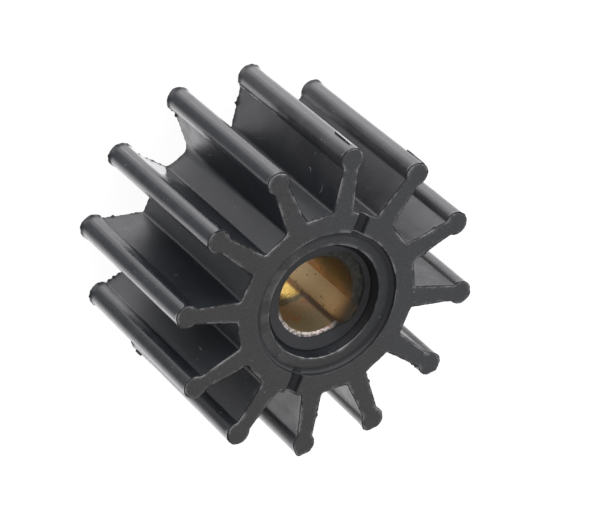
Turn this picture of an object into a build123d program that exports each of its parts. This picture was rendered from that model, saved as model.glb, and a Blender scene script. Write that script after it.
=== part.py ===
from build123d import *
from math import cos, hypot, radians, sin
import os

os.makedirs("parts", exist_ok=True)

# Flexible-vane pump impeller: a brass drive insert in a moulded rubber body.
# The shaft axis is Z and the rear end face lies on Z = 0. The slotted front
# end face looks up, the keyway opens towards +Y and one vane points along +X.

# ---- Driving dimensions, millimetres ----
impeller_diameter = 65.0  # over the tip beads of the vanes
impeller_width = 41.5  # along the shaft, end face to end face

bore_diameter = 16.0  # shaft size
bore_chamfer = 0.4
keyway_width = 4.8
keyway_depth = 2.0  # past the bore wall
insert_wall = 3.9  # brass between the bore and the outside of the insert
insert_setback = 4.2  # end of the insert below each end face of the impeller
flute_count = 8  # flutes outside the insert that lock it into the rubber
flute_radius = 1.0

lip_thickness = 0.5  # rubber that folds over each end of the insert
lip_setback = 1.0  # edge of that lip, back from the bore wall
lip_slope = 0.7  # fall of the lip from the mouth wall to its edge
mouth_taper = 0.6  # the mouth wall leans in by this much on its way down
mouth_rim = 0.4  # radius on the mouth's upper edge

ring_width = 3.2  # sunk ring between the mouth and the end land
ring_depth = 1.2
ring_cove = 1.0  # radius where the ring's floor meets the land
land_width = 4.1  # flat end land, out to the floor of the valleys

vane_count = 12
vane_root_width = 4.5
vane_neck_width = 3.1
bead_diameter = 4.8  # round bead along each vane's tip
bead_fillet = 0.6
root_fillet = 0.8

slot_count = 2  # round-bottomed slots across the front land
slot_width = 2.8

# ---- Dimensions that follow ----
tip_radius = impeller_diameter / 2
bore_radius = bore_diameter / 2
keyway_reach = bore_radius + keyway_depth
insert_radius = bore_radius + insert_wall
insert_length = impeller_width - 2 * insert_setback
lip_radius = bore_radius + lip_setback
ring_radius = insert_radius + ring_width
hub_radius = ring_radius + land_width  # to the middle of each flat valley floor
bead_radius = bead_diameter / 2
bead_centre = tip_radius - bead_radius
vane_pitch = 360 / vane_count
slot_radius = slot_width / 2
flute_turn = 180 / flute_count  # puts the keyway between two flutes

# Levels of the front hollow
ring_floor = impeller_width - ring_depth
lip_edge = impeller_width - insert_setback + lip_thickness
mouth_floor = lip_edge + lip_slope

# ---- Shapes that the two pieces share ----
with BuildPart() as insert_blank:
    with BuildSketch(Plane.XY.offset(insert_setback)):
        Circle(insert_radius)
        with PolarLocations(insert_radius, flute_count, start_angle=flute_turn):
            Circle(flute_radius, mode=Mode.SUBTRACT)
    extrude(amount=insert_length)

with BuildPart() as keyed_shaft_room:
    with BuildSketch():
        Circle(bore_radius)
        Rectangle(keyway_width, keyway_reach, align=(Align.CENTER, Align.MIN))
    extrude(amount=impeller_width)

# ---- Brass drive insert ----
with BuildPart() as brass_insert:
    add(insert_blank.part)
    add(keyed_shaft_room.part, mode=Mode.SUBTRACT)
    round_edges = brass_insert.edges().filter_by(GeomType.CIRCLE)
    bore_edges = round_edges.group_by(lambda edge: abs(edge.radius - bore_radius))[0]
    chamfer(bore_edges, bore_chamfer)

# ---- Rubber body: hub, vanes and tip beads moulded in one piece ----
with BuildSketch() as vane_outline:
    with BuildLine():
        Polyline(
            (hub_radius, -vane_root_width / 2),
            (bead_centre, -vane_neck_width / 2),
            (bead_centre, vane_neck_width / 2),
            (hub_radius, vane_root_width / 2),
            close=True,
        )
    make_face()
    with Locations((bead_centre, 0)):
        Circle(bead_radius)
    neck_corners = vane_outline.vertices().group_by(Axis.X)[1]
    fillet(neck_corners, bead_fillet)

with BuildSketch() as body_outline:
    RegularPolygon(hub_radius, vane_count, major_radius=False)
    with PolarLocations(0, vane_count):
        add(vane_outline.sketch)
    valley_corners = body_outline.vertices().group_by(
        lambda corner: round(hypot(corner.X, corner.Y), 3)
    )[0]
    fillet(valley_corners, root_fillet)

# Hollow of the front end: sunk ring, tapered mouth, sloping lip and the lip's opening
with BuildPart() as front_hollow:
    with BuildSketch(Plane.XZ) as hollow_section:
        with BuildLine():
            Polyline(
                (0, impeller_width),
                (ring_radius, impeller_width),
                (ring_radius, ring_floor),
                (insert_radius, ring_floor),
                (insert_radius - mouth_taper, mouth_floor),
                (lip_radius, lip_edge),
                (lip_radius, impeller_width - insert_setback),
                (0, impeller_width - insert_setback),
                close=True,
            )
        make_face()
        ring_corners = hollow_section.vertices().group_by(Axis.Y)[-2].sort_by(Axis.X)
        fillet(ring_corners[0], mouth_rim)
        cove_corner = hollow_section.vertices().group_by(Axis.Y)[-2].sort_by(Axis.X)[-1]
        fillet(cove_corner, ring_cove)
    revolve(axis=Axis.Z)

# Round-bottomed slot across the front land, from the sunk ring's cove out into a valley
slot_direction = Vector(cos(radians(vane_pitch / 2)), sin(radians(vane_pitch / 2)), 0)
slot_start = slot_direction * (ring_radius - ring_cove) + Vector(0, 0, impeller_width)
with BuildPart() as slot_cutter:
    with BuildSketch(Plane(slot_start, z_dir=slot_direction)):
        Circle(slot_radius)
    extrude(amount=ring_cove + land_width + root_fillet)

with BuildPart() as rubber_body:
    add(body_outline.sketch)
    extrude(amount=impeller_width)
    add(front_hollow.part, mode=Mode.SUBTRACT)
    mirror(front_hollow.part, about=Plane.XY.offset(impeller_width / 2), mode=Mode.SUBTRACT)
    add(insert_blank.part, mode=Mode.SUBTRACT)
    add(keyed_shaft_room.part, mode=Mode.SUBTRACT)
    with PolarLocations(0, slot_count):
        add(slot_cutter.part, mode=Mode.SUBTRACT)

brass_insert.part.label = "brass_insert"
export_step(brass_insert.part, "parts/brass_insert.step")

rubber_body.part.label = "rubber_body"
export_step(rubber_body.part, "parts/rubber_body.step")
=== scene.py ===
import bpy
import math
import numpy as np
from mathutils import Matrix, Vector, geometry, noise


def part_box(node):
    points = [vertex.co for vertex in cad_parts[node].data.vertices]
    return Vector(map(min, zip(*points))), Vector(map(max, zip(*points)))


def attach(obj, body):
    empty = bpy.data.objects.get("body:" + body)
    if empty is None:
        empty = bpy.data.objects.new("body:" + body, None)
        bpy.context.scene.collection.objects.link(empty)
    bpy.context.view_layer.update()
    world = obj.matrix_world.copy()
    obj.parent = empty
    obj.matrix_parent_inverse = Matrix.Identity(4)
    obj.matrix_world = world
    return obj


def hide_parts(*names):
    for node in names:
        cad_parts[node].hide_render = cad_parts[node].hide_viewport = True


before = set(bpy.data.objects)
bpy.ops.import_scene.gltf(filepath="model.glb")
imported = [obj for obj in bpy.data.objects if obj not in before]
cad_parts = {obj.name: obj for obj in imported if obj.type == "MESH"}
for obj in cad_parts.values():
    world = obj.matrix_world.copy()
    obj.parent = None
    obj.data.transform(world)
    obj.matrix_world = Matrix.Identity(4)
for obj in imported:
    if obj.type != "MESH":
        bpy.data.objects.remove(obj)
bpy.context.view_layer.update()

MM = 0.001

# ---- Sizes in millimetres: the boxes of the two CAD nodes, then the moulding's own sizes ----
body_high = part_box("rubber_body")[1] / MM
insert_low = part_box("brass_insert")[0] / MM
insert_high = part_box("brass_insert")[1] / MM
TIP_RADIUS = body_high.x
WIDTH = body_high.z
INSERT_RADIUS = insert_high.x
SETBACK = insert_low.z

# The vanes are counted anticlockwise from vane 0, which points along +X
VANES = 12
PITCH = 2 * math.pi / VANES
HUB_RADIUS = 19.2  # to the middle of each flat valley floor
ROOT_WIDTH = 4.5
NECK_WIDTH = 3.1
BEAD_RADIUS = 2.4
BEAD_CENTRE = TIP_RADIUS - BEAD_RADIUS
BEAD_FILLET = 0.6
SHARP_ROOT = 0.6  # root fillet on each vane's clockwise side, and on both sides at the front
SOFT_ROOTS = {7: 1.0, 8: 2.1, 9: 1.5, 10: 1.0}  # its other side at the rear end, by vane
SOFT_ROOT = 0.9  # the same, on the vanes that are not named

RING_RADIUS = 15.1
RING_DEPTH = 1.2
RING_COVE = 1.0
RING_EDGE = 0.12
MOUTH_RIM = 0.35
MOUTH_TAPER = 0.6
LIP_THICKNESS = 0.5
LIP_SLOPE = 0.7
LIP_WIDTH = 3.0
SLOT_RADIUS = 1.4
SLOT_ANGLES = (PITCH / 2, PITCH / 2 + math.pi)


# ---- Small helpers ----
def unit(vector):
    """The vector's direction, with length 1."""
    return vector / np.linalg.norm(vector)


def arc(centre, start, end, count):
    """Points round centre from start to end the short way, both ends included."""
    radius = np.linalg.norm(start - centre)
    first = math.atan2(*(start - centre)[::-1])
    sweep = math.atan2(*(end - centre)[::-1]) - first
    sweep = (sweep + math.pi) % (2 * math.pi) - math.pi
    angles = first + sweep * np.linspace(0, 1, count)
    return centre + radius * np.column_stack([np.cos(angles), np.sin(angles)])


def smooth_step(low, high, value):
    """Smooth rise from 0 at low to 1 at high."""
    t = np.clip((value - low) / (high - low), 0, 1)
    return t * t * (3 - 2 * t)


def towards(bearing, low, high, angle):
    """Share that rises from 0 to 1 towards a bearing, between two cosines of the angle to it."""
    return smooth_step(low, high, np.cos(angle - bearing))


NOISE_SHIFT = (17.3, 5.1, -9.7)  # from one seed's noise to the next
NOISE_FADE = 0.9  # how fast finer octaves get weaker
NOISE_STEP = 2.0  # how much finer each octave is


def field(points, scale, seed, octaves=3):
    """Smooth noise of about -1 to 1 at each point, with features about scale millimetres across."""
    shift = Vector([seed * part for part in NOISE_SHIFT])
    flat = np.zeros((len(points), 3))
    flat[:, : points.shape[1]] = points
    places = [Vector(point) / scale + shift for point in flat]
    return np.array([noise.fractal(place, NOISE_FADE, NOISE_STEP, octaves) for place in places])


def uneven(points, height, scale, seed, octaves=3):
    """The same noise, of about minus to plus a height."""
    return height * field(points, scale, seed, octaves)


def turn(points, angle):
    """Points turned anticlockwise by an angle."""
    c, s = math.cos(angle), math.sin(angle)
    return points @ np.array([[c, s], [-s, c]])


def at_height(plan, height):
    """Points in plan, raised to one height or to a height each."""
    return np.column_stack([plan, np.broadcast_to(height, len(plan))])


# ---- Outline of the moulding: half a vane sector, then all twelve vanes ----
# Points on each stretch of half a sector
FLOOR_POINTS = 11
ROOT_POINTS = 8
SIDE_POINTS = 34
NECK_POINTS = 6
BEAD_POINTS = 24

# The valley floor after vane 8 sinks towards the rear edge
DIP_ANGLE = math.radians(252.5)
DIP_SPREAD = math.radians(11)
DIP_DEPTH = 0.45
DIP_REACH = 6.0
DIP_FADE = (0.6, 3.0)  # above the hub, where it ends


def half_sector(root_fillet):
    """Outline from the middle of a valley, at minus half a pitch, to the tip of the vane on +X."""
    half = PITCH / 2
    valley = HUB_RADIUS * np.array([math.cos(half), -math.sin(half)])
    along_floor = np.array([math.sin(half), math.cos(half)])
    root = np.array([HUB_RADIUS, -ROOT_WIDTH / 2])
    neck = np.array([BEAD_CENTRE, -NECK_WIDTH / 2])
    bead = np.array([BEAD_CENTRE, 0.0])
    tip = np.array([TIP_RADIUS, 0.0])
    along_side = unit(neck - root)
    outward = np.array([along_side[1], -along_side[0]])

    steps = np.linalg.solve(np.column_stack([along_floor, -along_side]), root - valley)
    corner = valley + steps[0] * along_floor
    half_angle = math.acos(-along_floor @ along_side) / 2
    reach = root_fillet / math.tan(half_angle)
    root_centre = corner + unit(along_side - along_floor) * root_fillet / math.sin(half_angle)
    floor_end = corner - reach * along_floor
    side_start = corner + reach * along_side

    start = root + BEAD_FILLET * outward - bead
    middle = along_side @ start
    span = math.sqrt(middle**2 + (BEAD_RADIUS + BEAD_FILLET) ** 2 - start @ start)
    neck_centre = bead + start - (span + middle) * along_side
    side_end = neck_centre - BEAD_FILLET * outward
    bead_touch = bead + (neck_centre - bead) * BEAD_RADIUS / (BEAD_RADIUS + BEAD_FILLET)

    runs = [
        np.linspace(valley, floor_end, FLOOR_POINTS),
        arc(root_centre, floor_end, side_start, ROOT_POINTS),
        np.linspace(side_start, side_end, SIDE_POINTS),
        arc(neck_centre, side_end, bead_touch, NECK_POINTS),
        arc(bead, bead_touch, tip, BEAD_POINTS),
    ]
    return np.concatenate([run[:-1] for run in runs] + [tip[None]])


def valley_dip(points, height):
    """Share of its radius by which each point sinks into the dip."""
    angle = np.arctan2(points[:, 1], points[:, 0]) % (2 * math.pi)
    across = np.clip(1 - ((angle - DIP_ANGLE) / DIP_SPREAD) ** 2, 0, 1)
    low = 1 - smooth_step(HUB_RADIUS + DIP_FADE[0], HUB_RADIUS + DIP_FADE[1], np.hypot(*points.T))
    return DIP_DEPTH / HUB_RADIUS * across * low * (1 - smooth_step(0, DIP_REACH, height))


def outline_at(height):
    """Closed anticlockwise outline at one height, and the vane number of each point."""
    rear = 1 - smooth_step(0, WIDTH, height)
    lower = half_sector(SHARP_ROOT)
    points, vane = [], []
    for k in range(VANES):
        soft = SHARP_ROOT + (SOFT_ROOTS.get(k, SOFT_ROOT) - SHARP_ROOT) * rear
        upper = half_sector(soft)[::-1][1:-1] * (1, -1)
        sector = np.concatenate([lower, upper])
        points.append(turn(sector, k * PITCH))
        vane.append(np.full(len(sector), k))
    points = np.concatenate(points)
    return points * (1 - valley_dip(points, height))[:, None], np.concatenate(vane)


def normals_of(loop):
    """Outward normals of a closed anticlockwise loop."""
    step = np.roll(loop, -1, axis=0) - np.roll(loop, 1, axis=0)
    step /= np.linalg.norm(step, axis=1)[:, None]
    return np.column_stack([step[:, 1], -step[:, 0]])


def vane_axes(vane):
    """Directions along and across each point's own vane."""
    angle = vane * PITCH
    c, s = np.cos(angle), np.sin(angle)
    return np.column_stack([c, s]), np.column_stack([-s, c])


def in_vane(loop, vane):
    """Each point's distance along and across its own vane."""
    along, across = vane_axes(vane)
    return (loop * along).sum(axis=1), (loop * across).sum(axis=1)


# ---- What makes the vanes' ends uneven: trimmed beads, nubs of torn flash, worn edges with painted highlight and shadow lines ----
# Bead ends cut to flats, by vane: bearing from its axis in degrees, distance from the bead's centre
TRIMS = {
    1: [(-60, 2.25), (20, 2.3)],
    2: [(-95, 2.3), (-10, 2.3)],
    3: [(-38, 2.2), (15, 2.3)],
    4: [(10, 2.25)],
    8: [(-40, 2.3)],
}
TRIM_GROWTH = 0.22  # how far a bead swells between two flats
TRIM_START = 1.8  # from the front face, where a cut begins
TRIM_FULL = 0.3  # where it is at its deepest
FLAT_COSINE = 0.5  # of the widest angle from a flat's bearing
BEAD_TOUCH = 0.01  # how near its radius a point on a bead lies

# Nubs of torn flash: vane, side (-1 is the clockwise one), radius, end (1 front, 0 rear), height
NUBS = [
    (3, -1, 27.6, 1, 0.45),
    (3, -1, 26.5, 1, 0.3),
    (5, -1, 22.0, 1, 0.3),
    (5, 1, 25.5, 1, 0.25),
    (7, 1, 24.6, 0, 0.5),
    (7, 1, 25.6, 0, 0.3),
    (8, 1, 27.2, 0, 0.3),
    (10, -1, 26.0, 0, 0.3),
    (11, -1, 27.6, 0, 0.4),
    (11, -1, 26.4, 0, 0.5),
    (11, -1, 25.2, 0, 0.35),
    (11, -1, 24.0, 0, 0.45),
    (11, -1, 22.6, 0, 0.3),
    (1, 1, 24.0, 1, 0.25),
    (2, 1, 21.6, 1, 0.3),
]
NUB_REACH = 0.35

# Rows of the side wall, from an end face on: distance from it, then the shares of the chamfer,
# the flash, the groove in front of the flash, and a painted highlight line broken into scuffs, below
# zero a painted shadow line under the flash
EDGE_ROWS = [
    (0.0, 1.0, 0.0, 0.0, 0.35),
    (0.05, 0.75, 0.0, 0.2, 1.0),
    (0.12, 0.4, 0.1, 1.0, 0.1),
    (0.15, 0.15, 0.5, 0.0, -1.0),
    (0.2, 0.0, 1.0, 0.0, -0.9),
    (0.34, 0.0, 0.8, 0.0, 0.0),
    (0.55, 0.0, 0.2, 0.0, 0.0),
    (0.9, 0.0, 0.0, 0.0, 0.0),
]
DROPS, CHAMFER_SHARES, FLASH_SHARES, GROOVE_SHARES, EDGE_LIGHT_SHARES = zip(*EDGE_ROWS)
EDGE_REACH = DROPS[-1]

# Edges of each end: width of the chamfer, height of the flash, seed of their noise
FRONT_EDGE = (0.3, 0.11, 3)
REAR_EDGE = (0.14, 0.17, 8)
LEAST_CHAMFER = 0.06
REAR_FLARE = 0.22  # of the beads, at the rear end
FLARE_REACH = 1.4
FLARE_FULL = 1.0  # how far inside the bead's centre it reaches its full width
GROOVE = 0.2
GROOVE_SEED = 51

# Unevenness of the side wall: height, size, seed and octaves of its noise
WAVES = (0.05, 5.0, 21, 2)
RIPPLES = (0.015, 1.4, 22, 2)
WAVE_STRETCH = 0.35  # both are drawn out along the vanes


def trimmed(distance, bearing, flats):
    """Distance of a bead's points from its centre, once it is cut to its flats."""
    edges = [math.radians(flat[0]) for flat in flats]
    between = (bearing > min(edges)) & (bearing < max(edges))
    limit = distance + TRIM_GROWTH * between
    for degrees, reach in flats:
        cosine = np.cos(bearing - math.radians(degrees))
        cut = np.minimum(limit, reach / np.maximum(cosine, FLAT_COSINE))
        limit = np.where(cosine > FLAT_COSINE, cut, limit)
    return limit


def trim_beads(loop, vane, height):
    """Cuts the front ends of some beads to flats."""
    share = smooth_step(WIDTH - TRIM_START, WIDTH - TRIM_FULL, height)
    if share == 0:
        return loop
    along, across = vane_axes(vane)
    u, v = in_vane(loop, vane)
    u = u - BEAD_CENTRE
    distance, bearing = np.hypot(u, v), np.arctan2(v, u)
    outward = along * np.cos(bearing)[:, None] + across * np.sin(bearing)[:, None]
    out = loop.copy()
    for k, flats in TRIMS.items():
        on_bead = (vane == k) & (np.abs(distance - BEAD_RADIUS) < BEAD_TOUCH)
        change = np.where(on_bead, trimmed(distance, bearing, flats) - distance, 0) * share
        out += outward * change[:, None]
    return out


def nubs(loop, vane, front):
    """Height of the named nubs of torn flash at one end."""
    u, v = in_vane(loop, vane)
    height = np.zeros(len(loop))
    for k, side, radius, end, peak in NUBS:
        if bool(end) == front:
            near = (vane == k) & (v * side > 0)
            height += near * peak * np.exp(-(((u - radius) / NUB_REACH) ** 2))
    return height


def torn(loop, seed):
    """Ragged share of the flash along an edge, none on some stretches."""
    coarse = field(loop, 2.2, seed)
    fine = field(loop, 0.6, seed + 1)
    return np.clip(0.25 + 0.9 * coarse + 0.8 * fine, 0, 1.6)


def edge_offset(loop, vane, drop, front):
    """Outward offset of the side wall at a distance from an end face."""
    chamfer, flash, seed = FRONT_EDGE if front else REAR_EDGE
    chamfer = np.maximum(chamfer * (1 + 0.3 * field(loop, 2.5, seed + 2)), LEAST_CHAMFER)
    flash = flash * torn(loop, seed) + nubs(loop, vane, front)
    flash = flash * np.interp(drop, DROPS, FLASH_SHARES)
    out = flash - chamfer * np.interp(drop, DROPS, CHAMFER_SHARES)
    if not front:
        on_bead = smooth_step(BEAD_CENTRE - BEAD_RADIUS, BEAD_CENTRE - FLARE_FULL, np.hypot(*loop.T))
        out += REAR_FLARE * on_bead * (1 - smooth_step(0, FLARE_REACH, drop))
    return out


def groove_depth(loop, height):
    """How far a row near the front face sinks into the groove beside the flash."""
    share = np.interp(WIDTH - height, DROPS, GROOVE_SHARES)
    return GROOVE * share * np.clip(0.2 + 1.1 * field(loop, 2.0, GROOVE_SEED, 2), 0, 1)


def side_row(height):
    """One row of the side wall, in plan, with everything that makes it uneven."""
    loop, vane = outline_at(height)
    loop = trim_beads(loop, vane, height)
    place = at_height(loop, WAVE_STRETCH * height)
    offset = uneven(place, *WAVES) + uneven(place, *RIPPLES)
    front_drop, rear_drop = WIDTH - height, height
    if front_drop <= EDGE_REACH:
        offset = offset + edge_offset(loop, vane, front_drop, True)
    if rear_drop <= FLARE_REACH:
        offset = offset + edge_offset(loop, vane, rear_drop, False)
    return loop + normals_of(loop) * offset[:, None]


# ---- Lean of a vane's tip in degrees, at the front and at the rear end, by vane ----
LEANS = {
    1: (0.3, -0.3),
    2: (-0.4, 0.3),
    3: (-0.4, 0.2),
    5: (0.0, 0.3),
    8: (0.0, 0.2),
    9: (-0.2, 0.5),
    10: (0.0, 0.4),
}
LEAN_BEND = 1.5  # above 1, a vane bends more towards its tip


def lean_vanes(points):
    """Leans each vane sideways from its root, by its own amount at each end."""
    x, y, z = points.T
    vane = np.round(np.arctan2(y, x) / PITCH).astype(int) % VANES
    front, rear = np.radians([LEANS.get(k, (0, 0)) for k in range(VANES)])[vane].T
    along = z / WIDTH
    reach = np.clip((np.hypot(x, y) - HUB_RADIUS) / (TIP_RADIUS - HUB_RADIUS), 0, 1)
    lean = (rear + (front - rear) * along) * reach**LEAN_BEND
    c, s = np.cos(lean), np.sin(lean)
    return np.column_stack([c * x - s * y, s * x + c * y, z])


# ---- Mesh building ----
class Shell:
    """Collects vertices and faces of one mesh, in millimetres."""

    def __init__(self):
        self.points = []
        self.matte = []
        self.wear_and_light = []
        self.faces = []
        self.count = 0

    def add(self, points, matte=0.0, wear_and_light=0.0):
        """Adds vertices and returns their numbers.

        Matte is 1 on ground faces and 0 on glossy ones; in the hollows its low values are painted
        shade.
        The wear-and-light share is 1 on scuffed edges with painted highlights and on pale fibres, 2 on
        a painted glint, below 0 on painted shade.
        """
        first = self.count
        self.points.append(np.asarray(points, float))
        self.matte.append(np.full(len(points), matte))
        self.wear_and_light.append(np.full(len(points), wear_and_light))
        self.count += len(points)
        return np.arange(first, self.count)

    def strips(self, rows, flipped=False):
        """Quads between each closed row and the next, all of the same length."""
        for lower, upper in zip(rows, rows[1:]):
            if flipped:
                lower, upper = upper, lower
            for i in range(len(lower)):
                j = (i + 1) % len(lower)
                self.faces.append((lower[i], lower[j], upper[j], upper[i]))

    def make(self, name, shape):
        """Makes the mesh object, with its points passed through the shape function."""
        points = shape(np.concatenate(self.points))
        mesh = bpy.data.meshes.new(name)
        mesh.from_pydata((points * MM).tolist(), [], [tuple(int(i) for i in f) for f in self.faces])
        for attribute, parts in (("matte", self.matte), ("wear_and_light", self.wear_and_light)):
            values = np.concatenate(parts).astype(np.float32)
            mesh.attributes.new(attribute, "FLOAT", "POINT").data.foreach_set("value", values)
        mesh.validate()
        mesh.update()
        piece = bpy.data.objects.new(name, mesh)
        bpy.context.scene.collection.objects.link(piece)
        return piece


# ---- End faces ----
CAP_SPACING = 0.6
CAP_JITTER = 0.2  # of the spacing
SLOT_SPACING = 0.16
SLOT_ROWS = 19
RING_GAP = 0.14  # kept free of inner points beside the ring's edge
OUTLINE_GAP = 0.16  # the same, beside the outline
CAP_SEED = 11
SAME_POINT = 1e-7
IN_SLOT = (0.15, 0.6)  # depths between which an end face loses its ground finish
SLOT_SHADE = -0.5  # painted shade in a slot, as a wear-and-light share below zero


def slot_depth(points):
    """Depth of the two round-bottomed slots below the front land."""
    depth = np.zeros(len(points))
    for angle in SLOT_ANGLES:
        c, s = math.cos(angle), math.sin(angle)
        out = points[:, 0] * c + points[:, 1] * s
        across = np.abs(points[:, 1] * c - points[:, 0] * s) / SLOT_RADIUS
        round_bottom = SLOT_RADIUS * np.sqrt(np.clip(1 - across**2, 0, 1))
        depth += np.where((out > RING_RADIUS - RING_COVE) & (across < 1), round_bottom, 0)
    return depth


def inside_loop(points, loop):
    """Even-odd test of points against a closed loop."""
    inside = np.zeros(len(points), bool)
    x, y = points[:, 0], points[:, 1]
    for (x0, y0), (x1, y1) in zip(loop, np.roll(loop, -1, axis=0)):
        if y0 == y1:
            continue
        crosses = (y0 > y) != (y1 > y)
        inside ^= crosses & (x < (x1 - x0) * (y - y0) / (y1 - y0) + x0)
    return inside


def slot_points():
    """A fine grid over the two slots."""
    out = np.arange(RING_RADIUS, HUB_RADIUS, SLOT_SPACING)
    across = np.linspace(-SLOT_RADIUS, SLOT_RADIUS, SLOT_ROWS)
    grid = np.stack(np.meshgrid(out, across), axis=-1).reshape(-1, 2)
    return np.concatenate([turn(grid, angle) for angle in SLOT_ANGLES])


def cap_points(loop, front):
    """Inner points that give an end face an even mesh, finer at the slots."""
    rng = np.random.default_rng(CAP_SEED)
    grid = np.arange(-TIP_RADIUS, TIP_RADIUS, CAP_SPACING)
    points = np.stack(np.meshgrid(grid, grid), axis=-1).reshape(-1, 2)
    points = points + rng.uniform(-CAP_JITTER, CAP_JITTER, points.shape) * CAP_SPACING
    if front:
        points = np.concatenate([points[slot_depth(points) == 0], slot_points()])
    radius = np.hypot(*points.T)
    points = points[(radius > RING_RADIUS + RING_EDGE + RING_GAP) & (radius < TIP_RADIUS)]
    points = points[inside_loop(points, loop)]
    near = np.full(len(points), np.inf)
    for corner in loop:
        near = np.minimum(near, np.hypot(*(points - corner).T))
    return points[near > OUTLINE_GAP]


def end_height(points, front):
    """Heights of an end face, sunk at the slots of the front one."""
    return WIDTH - slot_depth(points) if front else np.zeros(len(points))


def closed_edges(first, count):
    """Index pairs of the edges of a closed loop."""
    return [(first + i, first + (i + 1) % count) for i in range(count)]


def cap_faces(shell, loop, loop_ids, ring, ring_ids, front):
    """Fills an end face between the outline and the sunk ring's edge."""
    inner = cap_points(loop, front)
    height = end_height(inner, front)
    matte = 1 - smooth_step(*IN_SLOT, np.abs(height - (WIDTH if front else 0.0)))
    inner_ids = shell.add(at_height(inner, height), matte, SLOT_SHADE * (1 - matte))
    ids = np.concatenate([loop_ids, ring_ids, inner_ids])

    flat = np.concatenate([loop, ring, inner])
    edges = closed_edges(0, len(loop)) + closed_edges(len(loop), len(ring))
    result = geometry.delaunay_2d_cdt([Vector(p) for p in flat], edges, [], 0, SAME_POINT, True)
    corners = np.array([tuple(corner) for corner in result[0]])
    assert len(corners) == len(flat), "the outline of an end face crosses itself"
    triangles = np.array(result[2])
    middle = corners[triangles].mean(axis=1)
    keep = inside_loop(middle, loop) & ~inside_loop(middle, ring)
    origin = np.array([given[0] for given in result[3]])
    for a, b, c in ids[origin[triangles[keep]]]:
        shell.faces.append((a, b, c) if front else (c, b, a))


# ---- Hollow of each end ----
# Bearings of painted light and shade in the hollows: painted highlights on the ring's edge and the
# mouth's rim, a painted glint on the rim, painted light on the ring's floor, and the side with painted
# shade
LIT_RING_EDGE = math.radians(185)  # of the ring
LIT_RIM = math.radians(238)  # of the mouth
GLINT_RIM = math.radians(40)
LIT_RING_FLOOR = math.radians(295)
SHADED_SIDE = math.radians(125)  # where the hollow is dark

# The fine groove round the lip: steps inwards and upwards from the foot of the mouth's wall
LIP_GROOVE = [(0.05, -0.14), (0.16, -0.12), (0.26, 0.02)]
LIP_START = INSERT_RADIUS - MOUTH_TAPER - 0.27  # within this radius the rows reach to the lip's edge
HOLLOW_WAVES = (0.02, 2.5, 31, 2)  # height, size, seed and octaves of its noise
HIDDEN_MATTE = 0.8  # where the insert covers the rubber

# Edge of the lip, and the bearings in radians between which its tear begins and ends
LIP_RADIUS = 8.75
TORN_BACK = 1.35
TEAR_START = (1.2, 1.5)
TEAR_END = (3.1, 3.9)
LIP_WAVES = (0.22, 1.0, 0, 4)
LIP_NOISE_PATH = (3.0, 2.0)  # radius and height of the circle on which its noise is read

RING_STEPS = 360
RING_ANGLES = np.linspace(0, 2 * math.pi, RING_STEPS, endpoint=False)


def circle(radius):
    """Points in plan round the axis, at one radius or at one for each step."""
    return np.column_stack([radius * np.cos(RING_ANGLES), radius * np.sin(RING_ANGLES)])


def hollow_profile():
    """Rows of an end's hollow from the land's edge in to the lip's edge: radius, depth, matte,
    wear-and-light share.
    """
    mouth_floor = SETBACK - LIP_THICKNESS - LIP_SLOPE
    edge_centre = np.array([RING_RADIUS + RING_EDGE, RING_EDGE])
    edge = arc(edge_centre, edge_centre - (0, RING_EDGE), edge_centre - (RING_EDGE, 0), 4)
    cove_centre = np.array([RING_RADIUS - RING_COVE, RING_DEPTH - RING_COVE])
    cove = arc(cove_centre, cove_centre + (RING_COVE, 0), cove_centre + (0, RING_COVE), 8)
    rim_centre = np.array([INSERT_RADIUS + MOUTH_RIM, RING_DEPTH + MOUTH_RIM])
    rim = arc(rim_centre, rim_centre - (0, MOUTH_RIM), rim_centre - (MOUTH_RIM, 0), 6)
    floor = np.linspace(cove[-1], rim[0], 6)[1:-1]
    wall_end = np.array([INSERT_RADIUS - MOUTH_TAPER, mouth_floor])
    wall = np.linspace(rim[-1], wall_end, 8)[1:]
    groove = wall_end - LIP_GROOVE
    lip_end = np.array([INSERT_RADIUS - LIP_WIDTH, mouth_floor + LIP_SLOPE])
    lip = np.linspace(groove[-1], lip_end, 9)[1:]
    # Points, matte and wear-and-light share: the low matte of the cove, the rim's foot, the mouth's
    # wall and the groove is painted shade, and the share on the ring's edge and the mouth's rim is
    # painted highlight
    parts = [
        (edge, 0.8, 1.0),
        (cove, 0.12, 0.0),
        (floor, 0.9, 0.0),
        (rim[:2], 0.9, 0.3),
        (rim[2:5], 0.7, 1.0),
        (rim[5:], 0.1, 0.0),
        (wall, 0.0, 0.0),
        (groove, 0.1, 0.0),
        (lip, 0.45, 0.0),
    ]
    return np.concatenate([np.column_stack([p, np.tile((m, w), (len(p), 1))]) for p, m, w in parts])


def lip_radius(angle):
    """Uneven edge of the rubber lip: torn back on the side from the keyway to -X."""
    tear = smooth_step(*TEAR_START, angle) * (1 - smooth_step(*TEAR_END, angle))
    radius, height = LIP_NOISE_PATH
    path = at_height(np.column_stack([radius * np.cos(angle), radius * np.sin(angle)]), height)
    return LIP_RADIUS + TORN_BACK * tear + uneven(path, *LIP_WAVES)


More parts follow.
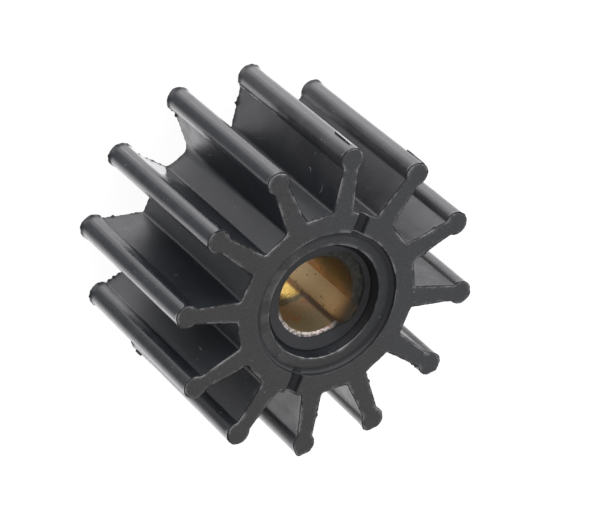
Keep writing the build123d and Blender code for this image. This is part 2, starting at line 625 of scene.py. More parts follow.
def hollow_light_and_shade(radius, matte, wear_and_light):
    """Matte and wear-and-light shares round one row of the hollow: painted shade on one side, painted
    highlights on the ring's edge and the mouth's rim, a painted glint on the rim and painted light on
    the ring's floor.
    """
    # Painted shade: the hollow is darker on one side
    painted_shade = towards(SHADED_SIDE, 0.3, 0.85, RING_ANGLES)
    if radius >= RING_RADIUS:  # the ring's edge
        return matte, wear_and_light * (0.12 + 0.88 * towards(LIT_RING_EDGE, 0.1, 0.8, RING_ANGLES))
    if radius > RING_RADIUS - RING_COVE:  # its cove
        return matte * (1 - 0.45 * painted_shade), wear_and_light - 0.5 * painted_shade
    if radius < INSERT_RADIUS + 0.1:  # the mouth's wall and the lip
        return matte * (1 - painted_shade), wear_and_light - 0.8 * painted_shade
    # The ring's floor and the mouth's rim
    share = 0.1 + 0.9 * towards(LIT_RIM, -0.05, 0.4, RING_ANGLES)
    share += 1.4 * towards(GLINT_RIM, 0.88, 0.97, RING_ANGLES)
    # Painted light: the ring's floor is lighter on one side
    rough = 0.12 * towards(LIT_RING_FLOOR, 0.0, 0.8, RING_ANGLES)
    return matte * (1 - 0.45 * painted_shade), wear_and_light * share + (0.0 if wear_and_light else rough)


def hollow(shell, ring_ids, front):
    """Sunk ring, mouth and lip of one end, down to the insert's face; returns the last row."""
    edge = lip_radius(RING_ANGLES if front else -RING_ANGLES % (2 * math.pi))
    profile = hollow_profile()
    lip_end = profile[-1, 0]
    rows = [ring_ids]
    for radius, sunk, matte, wear_and_light in profile[1:]:
        share = (LIP_START - radius) / (LIP_START - lip_end)
        plan = circle(radius if share <= 0 else LIP_START + (edge - LIP_START) * share)
        depth = sunk + uneven(plan, *HOLLOW_WAVES)
        if front:
            depth = np.maximum(depth, slot_depth(plan))
        height = WIDTH - depth if front else depth
        rows.append(shell.add(at_height(plan, height), *hollow_light_and_shade(radius, matte, wear_and_light)))
    floor = WIDTH - SETBACK if front else SETBACK
    rows.append(shell.add(at_height(circle(edge), floor), HIDDEN_MATTE))
    rows.append(shell.add(at_height(circle(INSERT_RADIUS), floor), HIDDEN_MATTE))
    shell.strips(rows, flipped=not front)
    return rows[-1]


# ---- Fins of flash that stand along the mould's parting line, and creases ----
FIN_STEP = 0.2
FIN_FOOT = 0.2  # of a fin, inside the vane

# Each runs between two heights and rises by so much, less or more by its ragged part
FLAP_HEIGHTS = (WIDTH - 6.7, WIDTH - 0.1)
FLAP_RISE = 0.26
FLAP_FALL = 0.12
FLAP_THICKNESS = 0.3
FLAP_RAGGED = (0.04, 0.8, 41)  # height, size and seed of its noise
SEAM_HEIGHTS = (0.4, 0.42 * WIDTH)
SEAM_RISE = 0.12
SEAM_TAB = (0.42, 0.14)  # more height, on this share of its length
SEAM_THICKNESS = 0.25
SEAM_RAGGED = (0.06, 0.7, 42)
SEAM_LEAST = 0.02
SLIVER_HEIGHTS = (WIDTH - 7.4, WIDTH - 1.7)
SLIVER_RISES = (0.34, 0.22)  # at its two ends
SLIVER_SIDES = ((4, 0.1, -1.0), (-5, 0.14, 2.0))  # bearing in degrees, thickness, wear-and-light share: -1 a painted shadow, 2 a painted highlight
SLIVER_RAGGED = (0.02, 0.8, 44)
CREASE_HEIGHTS = (0.3, 0.38 * WIDTH)
CREASES = ((BEAD_CENTRE - 1.95, 1.62), (BEAD_CENTRE - 1.734, 1.98))  # along and across the vane
CREASE_BEARING = 120
CREASE_RISE = 0.12
CREASE_THICKNESS = 0.22
CREASE_WORN = 0.7
CREASE_RAGGED = (0.02, 0.9, 43)
CREASE_LEAST = 0.01


def fin(shell, base, outward, height, thickness, wear_and_light=0.0):
    """A thin closed fin on a line of base points, a third as thick at its top."""
    step = np.gradient(base, axis=0)
    across = np.cross(step, outward)
    across /= np.linalg.norm(across, axis=1)[:, None]
    foot, top = base - FIN_FOOT * outward, base + height[:, None] * outward
    wide, narrow = across * thickness / 2, across * thickness / 6
    corners = (foot - wide, foot + wide, top + narrow, top - narrow)
    rails = [shell.add(corner, 0.0, wear_and_light) for corner in corners]
    for lower, upper in zip(rails, rails[1:] + rails[:1]):
        for i in range(len(base) - 1):
            shell.faces.append((lower[i], lower[i + 1], upper[i + 1], upper[i]))
    shell.faces.append(tuple(rail[0] for rail in rails))
    shell.faces.append(tuple(rail[-1] for rail in rails[::-1]))


def along_vane(vane, radius, across, low, high):
    """Points along a vane at one place of its section, from height low to high."""
    heights = np.arange(low, high, FIN_STEP)
    plan = turn(np.array([[radius, across]]), vane * PITCH)
    return at_height(np.tile(plan, (len(heights), 1)), heights)


def along_bead(vane, bearing, low, high):
    """Points along a bead's surface at a bearing in degrees from its vane's axis."""
    angle = math.radians(bearing)
    radius = BEAD_CENTRE + BEAD_RADIUS * math.cos(angle)
    return along_vane(vane, radius, BEAD_RADIUS * math.sin(angle), low, high)


def facing(vane, bearing, count):
    """Outward direction at a bearing from the vane's axis, once for each of count points."""
    angle = vane * PITCH + math.radians(bearing)
    return np.tile([math.cos(angle), math.sin(angle), 0.0], (count, 1))


def add_flap(shell):
    """A flap at the front end of the vane on -X."""
    line = along_vane(6, TIP_RADIUS, 0, *FLAP_HEIGHTS)
    share = np.linspace(0, 1, len(line))
    rise = FLAP_RISE - FLAP_FALL * share**2 + uneven(line, *FLAP_RAGGED)
    fin(shell, line, facing(6, 0, len(line)), rise, FLAP_THICKNESS)


def add_seam(shell):
    """A ragged seam on the vane on +X, with a tab at its rear end."""
    line = along_vane(0, TIP_RADIUS, 0, *SEAM_HEIGHTS)
    share = np.linspace(0, 1, len(line))
    tab = SEAM_TAB[0] * (share < SEAM_TAB[1])
    rise = SEAM_RISE * (1 - share) + tab + uneven(line, *SEAM_RAGGED)
    fin(shell, line, facing(0, 0, len(line)), np.maximum(rise, SEAM_LEAST), SEAM_THICKNESS)


def add_sliver(shell):
    """A lifted sliver on the bead of vane 7: one side painted with a shadow, the other with a
    highlight.
    """
    for bearing, thickness, wear_and_light in SLIVER_SIDES:
        line = along_bead(7, bearing, *SLIVER_HEIGHTS)
        rise = np.linspace(*SLIVER_RISES, len(line)) + uneven(line, *SLIVER_RAGGED)
        fin(shell, line, facing(7, bearing, len(line)), rise, thickness, wear_and_light)


def add_creases(shell):
    """Two creases at the rear end of vane 7, under its bead."""
    for radius, across in CREASES:
        line = along_vane(7, radius, across, *CREASE_HEIGHTS)
        share = np.linspace(0, 1, len(line))
        rise = CREASE_RISE * (1 - share**3) + uneven(line, *CREASE_RAGGED)
        rise = np.maximum(rise, CREASE_LEAST)
        outward = facing(7, CREASE_BEARING, len(line))
        fin(shell, line, outward, rise, CREASE_THICKNESS, CREASE_WORN)


# ---- Fibres on the vanes: vane, side, radius, height, length, tilt in degrees, bend ----
HAIRS = [
    (7, 1, 25.4, 26.9, 1.8, -17, 0.1),
    (7, 1, 20.8, 35.4, 1.9, 12, 0.35),
    (7, 1, 23.2, 31.0, 1.1, -60, 0.2),
    (7, -1, 24.0, 30.0, 1.3, 30, 0.2),
    (8, 1, 23.5, 12.0, 1.4, 70, 0.2),
    (10, -1, 25.0, 27.0, 1.2, 20, 0.2),
    (6, 1, 25.0, 30.0, 1.0, -50, 0.2),
    (11, -1, 24.5, 34.0, 1.2, 80, 0.1),
]
HAIR_POINTS = 9
HAIR_WIDTH = 0.24  # at its foot, inside the vane
HAIR_HEIGHT = 0.05
HAIR_WORN = 0.9


def hair(shell, vane, side, radius, height, length, tilt, bend):
    """A fibre that lies on the flat side of a vane."""
    share = np.linspace(0, 1, HAIR_POINTS)
    c, s = math.cos(math.radians(tilt)), math.sin(math.radians(tilt))
    bow = bend * np.sin(math.pi * share)
    r = radius + length * share * c - bow * s
    z = height + length * share * s + bow * c
    slope = (NECK_WIDTH - ROOT_WIDTH) / 2 / (BEAD_CENTRE - HUB_RADIUS)
    across = side * (ROOT_WIDTH / 2 + slope * (r - HUB_RADIUS))
    line = at_height(turn(np.column_stack([r, across]), vane * PITCH), z)
    rise = np.full(HAIR_POINTS, HAIR_HEIGHT)
    fin(shell, line, facing(vane, 90 * side, HAIR_POINTS), rise, HAIR_WIDTH, HAIR_WORN)


# ---- Rubber moulding ----
FRONT_ROWS = (1.3, 1.9, 3.0)  # below the front face, besides those of the edge
REAR_ROWS = (1.1, FLARE_REACH, 2.4)  # above the rear face
MIDDLE_ROWS = np.linspace(4.2, WIDTH - 4.6, 9)
SLOT_FADE = 4.0  # from the front face, how far down the wall a slot shapes it
SLOT_EDGE = (0.1, 0.6)  # as IN_SLOT, for the wall's end
# Painted highlight at a slot's edge on the front face, and how far down it reaches
SLOT_EDGE_LIGHT = 0.3
SLOT_EDGE_LIGHT_REACH = 0.3  # from the front face
# Painted highlight along the ring's edge on the front face
RING_HIGHLIGHT = 0.5
SHARP_ANGLE = math.radians(38)


def side_wall(shell):
    """Side wall from the rear face to the front face; returns its rows and their plans."""
    front_rows = [WIDTH - drop for drop in (*DROPS, *FRONT_ROWS)]
    rows, plans = [], []
    for height in sorted([*DROPS, *REAR_ROWS, *MIDDLE_ROWS, *front_rows]):
        plan = side_row(height)
        slot = slot_depth(plan) * smooth_step(WIDTH - SLOT_FADE, WIDTH, height)
        in_slot = smooth_step(*SLOT_EDGE, slot)
        matte = (1.0 if height in (0.0, WIDTH) else 0.0) * (1 - in_slot)
        # Painted light and shade along both end faces' edges: a highlight line broken into scuffs, and
        # a shadow line under the flash
        wear_and_light = np.interp(min(height, WIDTH - height), DROPS, EDGE_LIGHT_SHARES)
        wear_and_light = wear_and_light + SLOT_EDGE_LIGHT * in_slot * (height > WIDTH - SLOT_EDGE_LIGHT_REACH)
        lowered = height - slot - groove_depth(plan, height)
        rows.append(shell.add(at_height(plan, lowered), matte, wear_and_light))
        plans.append(plan)
    shell.strips(rows)
    return rows, plans


def make_rubber():
    """The whole moulding as one mesh object."""
    shell = Shell()
    rows, plans = side_wall(shell)
    ring = circle(RING_RADIUS + RING_EDGE)
    # Painted highlight along the ring's edge, strongest on one side
    ring_highlight = RING_HIGHLIGHT * towards(LIT_RING_EDGE, 0.2, 0.9, RING_ANGLES)
    front_ring = shell.add(at_height(ring, end_height(ring, True)), 1.0, ring_highlight)
    rear_ring = shell.add(at_height(ring, end_height(ring, False)), 1.0)
    cap_faces(shell, plans[-1], rows[-1], ring, front_ring, True)
    cap_faces(shell, plans[0], rows[0], ring, rear_ring, False)
    front_wall = hollow(shell, front_ring, True)
    rear_wall = hollow(shell, rear_ring, False)
    shell.strips([front_wall, rear_wall])
    add_flap(shell)
    add_seam(shell)
    add_sliver(shell)
    add_creases(shell)
    for row in HAIRS:
        hair(shell, *row)
    return shell.make("rubber_moulding", lean_vanes)


rubber = make_rubber()
rubber.data.shade_smooth()
rubber.data.set_sharp_from_angle(angle=SHARP_ANGLE)
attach(rubber, "root")
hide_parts("rubber_body")


# ---- Node trees ----
class Tree:
    """Short ways to build a node tree; a value is a number, a colour or the socket of another node."""

    def __init__(self, owner):
        owner.use_nodes = True
        self.nodes = owner.node_tree.nodes
        self.links = owner.node_tree.links

    def put(self, socket, value):
        """Links or sets a socket."""
        if isinstance(value, bpy.types.NodeSocket):
            self.links.new(value, socket)
        else:
            socket.default_value = value

    def node(self, kind, values=None, **settings):
        """Adds a node with values for its inputs, by name or place, and returns its outputs."""
        node = self.nodes.new(kind)
        for name, setting in settings.items():
            setattr(node, name, setting)
        for name, value in (values or {}).items():
            self.put(node.inputs[name], value)
        return node.outputs

    def math(self, operation, a, b=0.0, clamp=False):
        return self.node("ShaderNodeMath", {0: a, 1: b}, operation=operation, use_clamp=clamp)[0]

    def plus(self, a, b):
        return self.math("ADD", a, b)

    def minus(self, a, b):
        return self.math("SUBTRACT", a, b)

    def times(self, a, b):
        return self.math("MULTIPLY", a, b)

    def larger(self, a, b):
        return self.math("MAXIMUM", a, b)

    def vector(self, operation, a, b=(0, 0, 0), result="Vector"):
        return self.node("ShaderNodeVectorMath", {0: a, 1: b}, operation=operation)[result]

    def dot(self, a, b):
        return self.vector("DOT_PRODUCT", a, b, "Value")

    def length(self, a):
        return self.vector("LENGTH", a, result="Value")

    def ramp(self, value, low, high, start=0.0, end=1.0):
        """Smooth change from start, where the value is low, to end, where it is high."""
        values = {"Value": value, "From Min": low, "From Max": high, "To Min": start, "To Max": end}
        return self.node("ShaderNodeMapRange", values, interpolation_type="SMOOTHSTEP")["Result"]


class Surface(Tree):
    """A material's node tree; its places and sizes are in millimetres."""

    def __init__(self, name):
        self.material = bpy.data.materials.new(name)
        super().__init__(self.material)
        self.shader = self.nodes["Principled BSDF"]
        coordinates = self.node("ShaderNodeTexCoord")
        self.normal = coordinates["Normal"]
        self.place = self.vector("MULTIPLY", coordinates["Object"], (1 / MM, 1 / MM, 1 / MM))

    def set(self, name, value):
        """Sets an input of the shader."""
        self.put(self.shader.inputs[name], value)

    def along(self, x, y, z):
        """Distance from the origin along a direction."""
        return self.dot(self.place, (x, y, z))

    def shifted(self, x, y, z):
        """Places for a second pattern that doesn't fall on the first."""
        return self.vector("ADD", self.place, (x, y, z))

    def attribute(self, name):
        return self.node("ShaderNodeAttribute", attribute_name=name)["Fac"]

    def mix(self, share, a, b):
        """Colour between a, where the share is 0, and b, where it is 1."""
        return self.node("ShaderNodeMix", {0: share, 6: a, 7: b}, data_type="RGBA")[2]

    def noise(self, size, detail=3.0, roughness=0.5, place=None):
        values = {"Scale": 1 / size, "Detail": detail, "Roughness": roughness}
        return self.node("ShaderNodeTexNoise", {"Vector": place or self.place, **values})["Fac"]

    def spots(self, size, reach, share, place=None):
        """Small spots: cell size, radius in cells, share of the cells with one."""
        cells = self.node("ShaderNodeTexVoronoi", {"Vector": place or self.place, "Scale": 1 / size})
        near = self.ramp(cells["Distance"], reach, reach * 0.5)
        chance = self.node("ShaderNodeSeparateColor", {0: cells["Color"]})[0]
        return self.times(near, self.math("LESS_THAN", chance, share))

    def bump(self, height, depth, below=None):
        """Bump of a depth in millimetres, on top of the bump below it."""
        values = {"Distance": depth * MM, "Height": height}
        if below:
            values["Normal"] = below
        return self.node("ShaderNodeBump", values)["Normal"]


# ---- Rubber ----
# Colours are linear, and a pair is the darker and the lighter end of a mottled one
SATIN = ((0.0072, 0.0099, 0.0132, 1), (0.0145, 0.0172, 0.0215, 1))
COOL_GROUND = ((0.039, 0.0415, 0.0455, 1), (0.066, 0.0705, 0.076, 1))
WARM_GROUND = ((0.0375, 0.0365, 0.0355, 1), (0.063, 0.061, 0.0595, 1))
SMOOTH_GROUND = (0.057, 0.058, 0.061, 1)
# Painted light on the vanes' sides: a lighter grey towards -X and towards +Y
MINUS_X_LIGHT_GREY = (0.041, 0.041, 0.045, 1)
PLUS_Y_LIGHT_GREY = (0.038, 0.038, 0.042, 1)
DUST = (0.5, 0.5, 0.51, 1)
# Scuffs and pale fibres, and painted highlight lines on edges
SCUFF_AND_HIGHLIGHT = (0.42, 0.42, 0.43, 1)
# Painted glint and painted highlight
PAINTED_GLINT = (0.85, 0.85, 0.86, 1)
# Painted shade and shadow
PAINTED_SHADE_BLACK = (0.004, 0.004, 0.005, 1)

# Roughness, from the smoother to the rougher end of the mottling, and its change on the beads
GLOSS = (0.38, 0.46)
DULL = (0.47, 0.58)
POLISH = -0.18

# Distance from the axis over which each comes in
MINUS_X_LIGHT_REACH = (10.0, 26.0)
PLUS_Y_LIGHT_REACH = (8.0, 20.0)
COOL_REACH = (-16.0, 16.0)
COOL_WANDER = 50.0  # how far noise moves the border between the cooler and the warmer grey


def rubber_dust(n):
    """White specks, thicker in some places."""
    coarse = n.spots(size=1.8, reach=0.085, share=0.45)
    fine = n.spots(size=0.8, reach=0.14, share=0.16)
    thickness = n.ramp(n.noise(size=9.0, detail=2.0), 0.42, 0.62, 0.4, 1.0)
    return n.times(n.larger(coarse, n.times(fine, 0.55)), thickness)


def satin_colour(n, mottle):
    """The vanes' sides, with painted light: a lighter grey towards -X, in patches, and towards +Y."""
    side = n.mix(mottle, *SATIN)
    minus_x_light = n.ramp(n.along(-1.0, 0.1, 0.0), *MINUS_X_LIGHT_REACH)
    minus_x_light = n.times(minus_x_light, n.ramp(n.noise(size=7.0), 0.3, 0.6, 0.55, 1.0))
    side = n.mix(minus_x_light, side, MINUS_X_LIGHT_GREY)
    plus_y_light = n.ramp(n.along(0.35, 0.94, 0.0), *PLUS_Y_LIGHT_REACH)
    return n.mix(n.times(plus_y_light, 0.8), side, PLUS_Y_LIGHT_GREY)


def ground_colour(n, mottle, speckle):
    """The ground end faces: fine grit, in a warmer grey towards +X than towards -X."""
    grit = n.ramp(speckle, 0.3, 0.7)
    wander = n.times(n.minus(n.noise(size=16.0, detail=2.0), 0.5), COOL_WANDER)
    cool = n.ramp(n.plus(wander, n.along(-0.87, 0.5, 0.0)), *COOL_REACH)
    ground = n.mix(cool, n.mix(grit, *WARM_GROUND), n.mix(grit, *COOL_GROUND))
    return n.mix(n.ramp(mottle, 0.4, 0.8, 0.0, 0.6), ground, SMOOTH_GROUND)


def wear_and_light_colour(n, base, dust):
    """The base colour under dust, scuffs and pale fibres, painted highlights and a painted glint on
    edges and rims, and painted shade beside the flash, in the slots and in the hollows.
    """
    wear_and_light = n.attribute("wear_and_light")
    base = n.mix(n.times(dust, 0.75), base, DUST)
    patches = n.ramp(n.noise(size=3.0, roughness=0.6), 0.42, 0.62)
    scuff_and_highlight = n.math("MULTIPLY", wear_and_light, patches, clamp=True)
    base = n.mix(n.times(scuff_and_highlight, 0.75), base, SCUFF_AND_HIGHLIGHT)
    base = n.mix(n.ramp(wear_and_light, 1.0, 2.0), base, PAINTED_GLINT)
    return n.mix(n.math("MULTIPLY", wear_and_light, -0.9, clamp=True), base, PAINTED_SHADE_BLACK)


def shiny_patch(n):
    """Roughness factor, low on one smooth patch: on the vane along -Y, its -X side, the rear end."""
    across = n.along(1.0, 0.0, 0.0)
    patch = n.times(n.ramp(across, -0.6, -1.2), n.ramp(across, -4.2, -3.2))
    patch = n.times(patch, n.ramp(n.along(0.0, -1.0, 0.0), HUB_RADIUS + 0.4, HUB_RADIUS + 1.2))
    patch = n.times(patch, n.ramp(n.along(0.0, 0.0, 1.0), 12.0, 8.0))
    return n.minus(1.0, n.times(patch, 0.75))


def rubber_roughness(n, mottle, matte, dust):
    """Satin sides, polished beads and dull end faces."""
    radius = n.length(n.vector("MULTIPLY", n.place, (1.0, 1.0, 0.0)))
    polished = n.ramp(radius, BEAD_CENTRE - 1.3, BEAD_CENTRE + 0.3)
    gloss = n.plus(n.ramp(mottle, 0.3, 0.7, *GLOSS), n.times(polished, POLISH))
    gloss = n.times(gloss, shiny_patch(n))
    dull = n.ramp(mottle, 0.3, 0.7, *DULL)
    rough = n.plus(gloss, n.times(matte, n.minus(dull, gloss)))
    return n.plus(rough, n.times(dust, 0.2))


def rubber_material():
    """Black moulded rubber: satin sides, ground matte end faces, scuffs and dust, painted light on the
    sides and painted highlights and shade on edges and in hollows.
    """
    n = Surface("moulded_rubber")
    matte = n.attribute("matte")
    mottle = n.noise(size=3.5, detail=4.0, roughness=0.6)
    speckle = n.noise(size=0.3, roughness=0.7)
    dust = rubber_dust(n)
    base = n.mix(matte, satin_colour(n, mottle), ground_colour(n, mottle, speckle))
    n.set("Base Color", wear_and_light_colour(n, base, dust))
    n.set("Roughness", rubber_roughness(n, mottle, matte, dust))
    waves = n.bump(n.noise(size=2.6, detail=2.0), 0.03)
    grain = n.bump(n.noise(size=0.22, detail=2.0), 0.008, waves)
    n.set("Normal", n.bump(n.times(speckle, matte), 0.022, grain))
    return n.material


# ---- Brass ----
GOLD = ((0.36, 0.23, 0.045, 1), (0.56, 0.39, 0.1, 1))
OLIVE = ((0.1, 0.085, 0.035, 1), (0.22, 0.18, 0.08, 1))
BROWN = ((0.34, 0.22, 0.1, 1), (0.52, 0.35, 0.17, 1))
DRAB = ((0.28, 0.23, 0.125, 1), (0.44, 0.36, 0.2, 1))
# Painted shade of the bore towards -X
SHADE_BROWN = ((0.18, 0.095, 0.05, 1), (0.34, 0.19, 0.1, 1))
SHADE_NEAR_BLACK = ((0.07, 0.06, 0.04, 1), (0.15, 0.12, 0.075, 1))
RUST = (0.55, 0.17, 0.035, 1)
# Painted shadow beside the keyway
KEY_SIDE_SHADOW = (0.07, 0.03, 0.012, 1)
KEY_TAN = ((0.78, 0.56, 0.27, 1), (0.95, 0.74, 0.42, 1))
KEY_RED = ((0.36, 0.17, 0.05, 1), (0.56, 0.29, 0.1, 1))
# Painted shadow of the lip on the keyway's front end
KEY_LIP_SHADOW = (0.07, 0.06, 0.045, 1)
BRIGHT_END = ((0.13, 0.105, 0.095, 1), (0.92, 0.84, 0.8, 1))
DARK_END = ((0.02, 0.022, 0.018, 1), (0.052, 0.053, 0.044, 1))
PIT = (0.03, 0.02, 0.012, 1)
TURNING_PITCH = 0.35

# Stains of the bore towards the front, and painted shade towards -X, by the distance over which each
# comes in
FORWARD_STAINS = ((22.0, 23.5, OLIVE), (24.5, 26.0, BROWN), (29.0, 33.5, DRAB))
SIDEWAYS_SHADE = ((-0.5, 1.0, SHADE_BROWN), (1.8, 5.2, SHADE_NEAR_BLACK))
STAIN_AND_SHADE_WANDER = 7.0  # how far noise moves their borders


def bore_colour(n, coarse, fine):
    """The bore's wall: gold at the back, brown and olive stains towards the front, painted shade in
    brown and near black towards -X, rust spots, fewer there.
    """
    across = n.along(-1.0, 0.0, 0.0)
    wander = n.times(n.minus(coarse, 0.5), STAIN_AND_SHADE_WANDER)
    forward = n.plus(n.along(0.0, 0.0, 1.0), wander)
    sideways = n.plus(across, n.times(wander, 0.35))
    wall = n.mix(n.ramp(fine, 0.25, 0.75), *GOLD)
    for place, stains_and_shade in ((forward, FORWARD_STAINS), (sideways, SIDEWAYS_SHADE)):
        for start, end, tone in stains_and_shade:
            wall = n.mix(n.ramp(place, start, end), wall, n.mix(fine, *tone))
    rust = n.noise(size=2.2, roughness=0.6, place=n.shifted(3.0, 13.0, 5.0))
    rust = n.ramp(rust, 0.58, 0.68)
    # Fewer rust spots in the painted shade towards -X
    rust = n.times(rust, n.ramp(across, 2.0, -1.0, 0.2, 0.95))
    return n.mix(rust, wall, RUST)


def key_colours(n, wall, in_keyway, coarse, fine):
    """The wall's colour with a painted shadow beside the keyway, and the keyway's own floor, under a
    painted shadow of the lip at its front end.
    """
    across = n.along(-1.0, 0.0, 0.0)
    # Painted shadow on the wall beside the keyway
    key_shadow = n.times(n.ramp(across, -3.6, -2.9), n.ramp(n.along(0.0, 1.0, 0.0), 5.0, 6.0))
    key_shadow = n.times(key_shadow, n.ramp(across, 0.5, -0.5))
    wall = n.mix(n.times(key_shadow, 0.9), wall, KEY_SIDE_SHADOW)
    depth = n.along(0.0, 0.0, 1.0)
    reddened = n.ramp(n.plus(depth, n.times(fine, 3.0)), 30.0, 38.0)
    floor = n.mix(reddened, n.mix(coarse, *KEY_TAN), n.mix(fine, *KEY_RED))
    # Painted shadow of the lip on the keyway's front end
    floor = n.mix(n.ramp(depth, 31.5, 36.5), floor, KEY_LIP_SHADOW)
    return n.mix(in_keyway, wall, floor)


def end_colour(n, lumps, fine):
    """The insert's end faces: bright and lumpy towards +X, dark on the other side."""
    bright_side = n.ramp(n.along(0.978, 0.208, 0.0), 3.6, 7.6)
    scraped = n.mix(n.ramp(lumps, 0.36, 0.6), *BRIGHT_END)
    return n.mix(bright_side, n.mix(n.ramp(fine, 0.35, 0.65), *DARK_END), scraped)


def brass_pits(n, in_keyway):
    """Dark pits, with more of them on the keyway's floor."""
    coarse = n.spots(size=1.9, reach=0.14, share=0.4)
    fine = n.spots(size=0.7, reach=0.16, share=0.12)
    on_key = n.spots(size=1.3, reach=0.2, share=0.4, place=n.shifted(0.3, 0.0, 0.7))
    return n.larger(n.larger(coarse, fine), n.times(on_key, in_keyway))


def brass_material():
    """Tarnished drive insert: gold in places, brown and olive stains, painted shade towards -X and
    beside the keyway, rough turned ends.
    """
    n = Surface("insert_brass")
    coarse = n.noise(size=4.2, detail=4.0, roughness=0.55)
    fine = n.noise(size=0.8, detail=4.0, roughness=0.6)
    lumps = n.noise(size=0.6, detail=4.0, roughness=0.65)
    in_keyway = n.ramp(n.along(0.0, 1.0, 0.0), 8.6, 9.2)
    depth = n.along(0.0, 0.0, 1.0)
    on_end = n.ramp(n.math("ABSOLUTE", n.dot(n.normal, (0.0, 0.0, 1.0))), 0.5, 0.8)

    wall = key_colours(n, bore_colour(n, coarse, fine), in_keyway, coarse, fine)
    base = n.mix(on_end, wall, end_colour(n, lumps, fine))
    n.set("Base Color", n.mix(n.times(brass_pits(n, in_keyway), 0.8), base, PIT))

    tarnish = n.larger(n.larger(on_end, in_keyway), n.times(n.ramp(depth, 21.0, 26.0), 0.6))
    n.set("Metallic", n.ramp(tarnish, 0.0, 1.0, 0.9, 0.3))
    n.set("Roughness", n.plus(n.ramp(coarse, 0.3, 0.7, 0.17, 0.28), n.times(tarnish, 0.24)))
    turned = n.bump(n.math("SINE", n.times(depth, 2 * math.pi / TURNING_PITCH)), 0.0012)
    rough_end = n.bump(n.times(lumps, on_end), 0.12, turned)
    n.set("Normal", n.bump(fine, 0.015, rough_end))
    return n.material


rubber.data.materials.append(rubber_material())
insert = bpy.data.objects["brass_insert"]
insert.material_slots[0].material = brass_material()

# ---- Camera ----
AIM = Vector((-0.0016, 0.0056, 0.02075))
DISTANCE = 0.6457
AZIMUTH = -98.74
ELEVATION = 50.37
ROLL = 131.34
LENS = 197.45
SENSOR_WIDTH = 36.0
NEAREST = 0.01


def make_camera():
    """The main view's camera, placed by its azimuth, elevation, roll and distance."""
    data = bpy.data.cameras.new("camera")
    data.lens = LENS
    data.sensor_width = SENSOR_WIDTH
    data.clip_start = NEAREST
    camera = bpy.data.objects.new("camera", data)
    bpy.context.scene.collection.objects.link(camera)
    a, e, r = (math.radians(angle) for angle in (AZIMUTH, ELEVATION, ROLL))
    back = Vector((math.cos(e) * math.cos(a), math.cos(e) * math.sin(a), math.sin(e)))
    level = Vector((0, 0, 1)).cross(back).normalized()
    upright = back.cross(level)
    right = level * math.cos(r) + upright * math.sin(r)
    up = upright * math.cos(r) - level * math.sin(r)
    rotation = Matrix((right, up, back)).transposed().to_4x4()
    camera.matrix_world = Matrix.Translation(AIM + back * DISTANCE) @ rotation
    bpy.context.scene.camera = camera
    return camera


camera = make_camera()

# ---- Stage and light ----
FLOOR_HALF = 3.0  # metres
FLOOR_DROP = 0.0002  # metres below the rear end face, so that the two planes don't coincide
FLOOR_GLOW = 0.93
FLOOR_GREY = (0.22, 0.22, 0.22, 1)

WHITE = (1, 1, 1, 1)
TENT_COLOUR = (0.8, 0.788, 0.802, 1)
TENT_LEVEL = 0.65
# Soft glows of the tent: direction as view_direction takes it, reach in degrees, strength
TENT_GLOWS = [
    ((0.15, 0.25, -0.95), 26, 1.4),
    ((0.18, 0.61, -0.77), 26, 0.5),
    ((0.0, 0.86, -0.51), 26, 1.9),
    ((-0.34, 0.9, -0.29), 26, 2.1),
    ((-0.72, -0.2, -0.67), 26, 1.9),
    ((-0.38, -0.24, -0.89), 22, 1.3),
    ((-0.48, 0.42, -0.77), 30, 2.0),
    ((-0.06, -0.84, -0.55), 40, 0.6),
    ((0.9, 0.35, -0.25), 40, 1.4),
    ((0.74, 0.56, 0.37), 40, 0.9),
    ((0.0, 0.7, 0.7), 45, 2.0),
    ((-0.7, 0.6, 0.4), 40, 1.7),
]


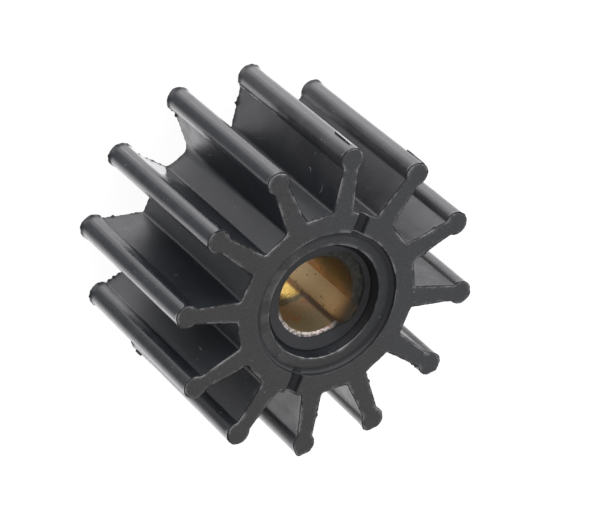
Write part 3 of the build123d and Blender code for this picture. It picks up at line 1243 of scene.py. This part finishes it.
def floor_material():
    """White from above, where it takes the shadow, and clear from below."""
    material = bpy.data.materials.new("floor_white")
    n = Tree(material)
    n.nodes.clear()
    glow = n.node("ShaderNodeEmission", {"Strength": FLOOR_GLOW})[0]
    matte = n.node("ShaderNodeBsdfDiffuse", {"Color": FLOOR_GREY})[0]
    white = n.node("ShaderNodeAddShader", {0: glow, 1: matte})[0]
    clear = n.node("ShaderNodeBsdfTransparent")[0]
    below = n.node("ShaderNodeNewGeometry")["Backfacing"]
    seen = n.node("ShaderNodeMixShader", {0: below, 1: white, 2: clear})[0]
    n.node("ShaderNodeOutputMaterial", {"Surface": seen})
    return material


def make_floor():
    """A white light table under the object."""
    mesh = bpy.data.meshes.new("floor")
    signs = [(-1, -1), (1, -1), (1, 1), (-1, 1)]
    corners = [(x * FLOOR_HALF, y * FLOOR_HALF, -FLOOR_DROP) for x, y in signs]
    mesh.from_pydata(corners, [], [(0, 1, 2, 3)])
    mesh.materials.append(floor_material())
    floor = bpy.data.objects.new("floor", mesh)
    bpy.context.scene.collection.objects.link(floor)
    floor.visible_glossy = False
    floor.visible_diffuse = False
    floor.visible_shadow = False


def view_direction(right, up, near):
    """A world direction from its parts in the main view: right, up and towards the camera."""
    return (camera.matrix_world.to_3x3() @ Vector((right, up, near))).normalized()


def make_world():
    """A light tent, brightest above and behind the object; the camera sees plain white."""
    world = bpy.data.worlds.new("light_tent")
    bpy.context.scene.world = world
    n = Tree(world)
    n.nodes.clear()
    place = n.node("ShaderNodeTexCoord")["Generated"]
    strength = TENT_LEVEL
    for direction, reach, peak in TENT_GLOWS:
        toward = n.dot(place, view_direction(*direction))
        glow = n.ramp(toward, math.cos(math.radians(reach)), 1.0, 0.0, peak)
        strength = n.plus(strength, glow)
    tent = n.node("ShaderNodeBackground", {"Color": TENT_COLOUR, "Strength": strength})[0]
    white = n.node("ShaderNodeBackground", {"Color": WHITE})[0]
    by_camera = n.node("ShaderNodeLightPath")["Is Camera Ray"]
    seen = n.node("ShaderNodeMixShader", {0: by_camera, 1: tent, 2: white})[0]
    n.node("ShaderNodeOutputWorld", {"Surface": seen})


make_floor()
make_world()
bpy.context.scene.view_settings.view_transform = "Standard"
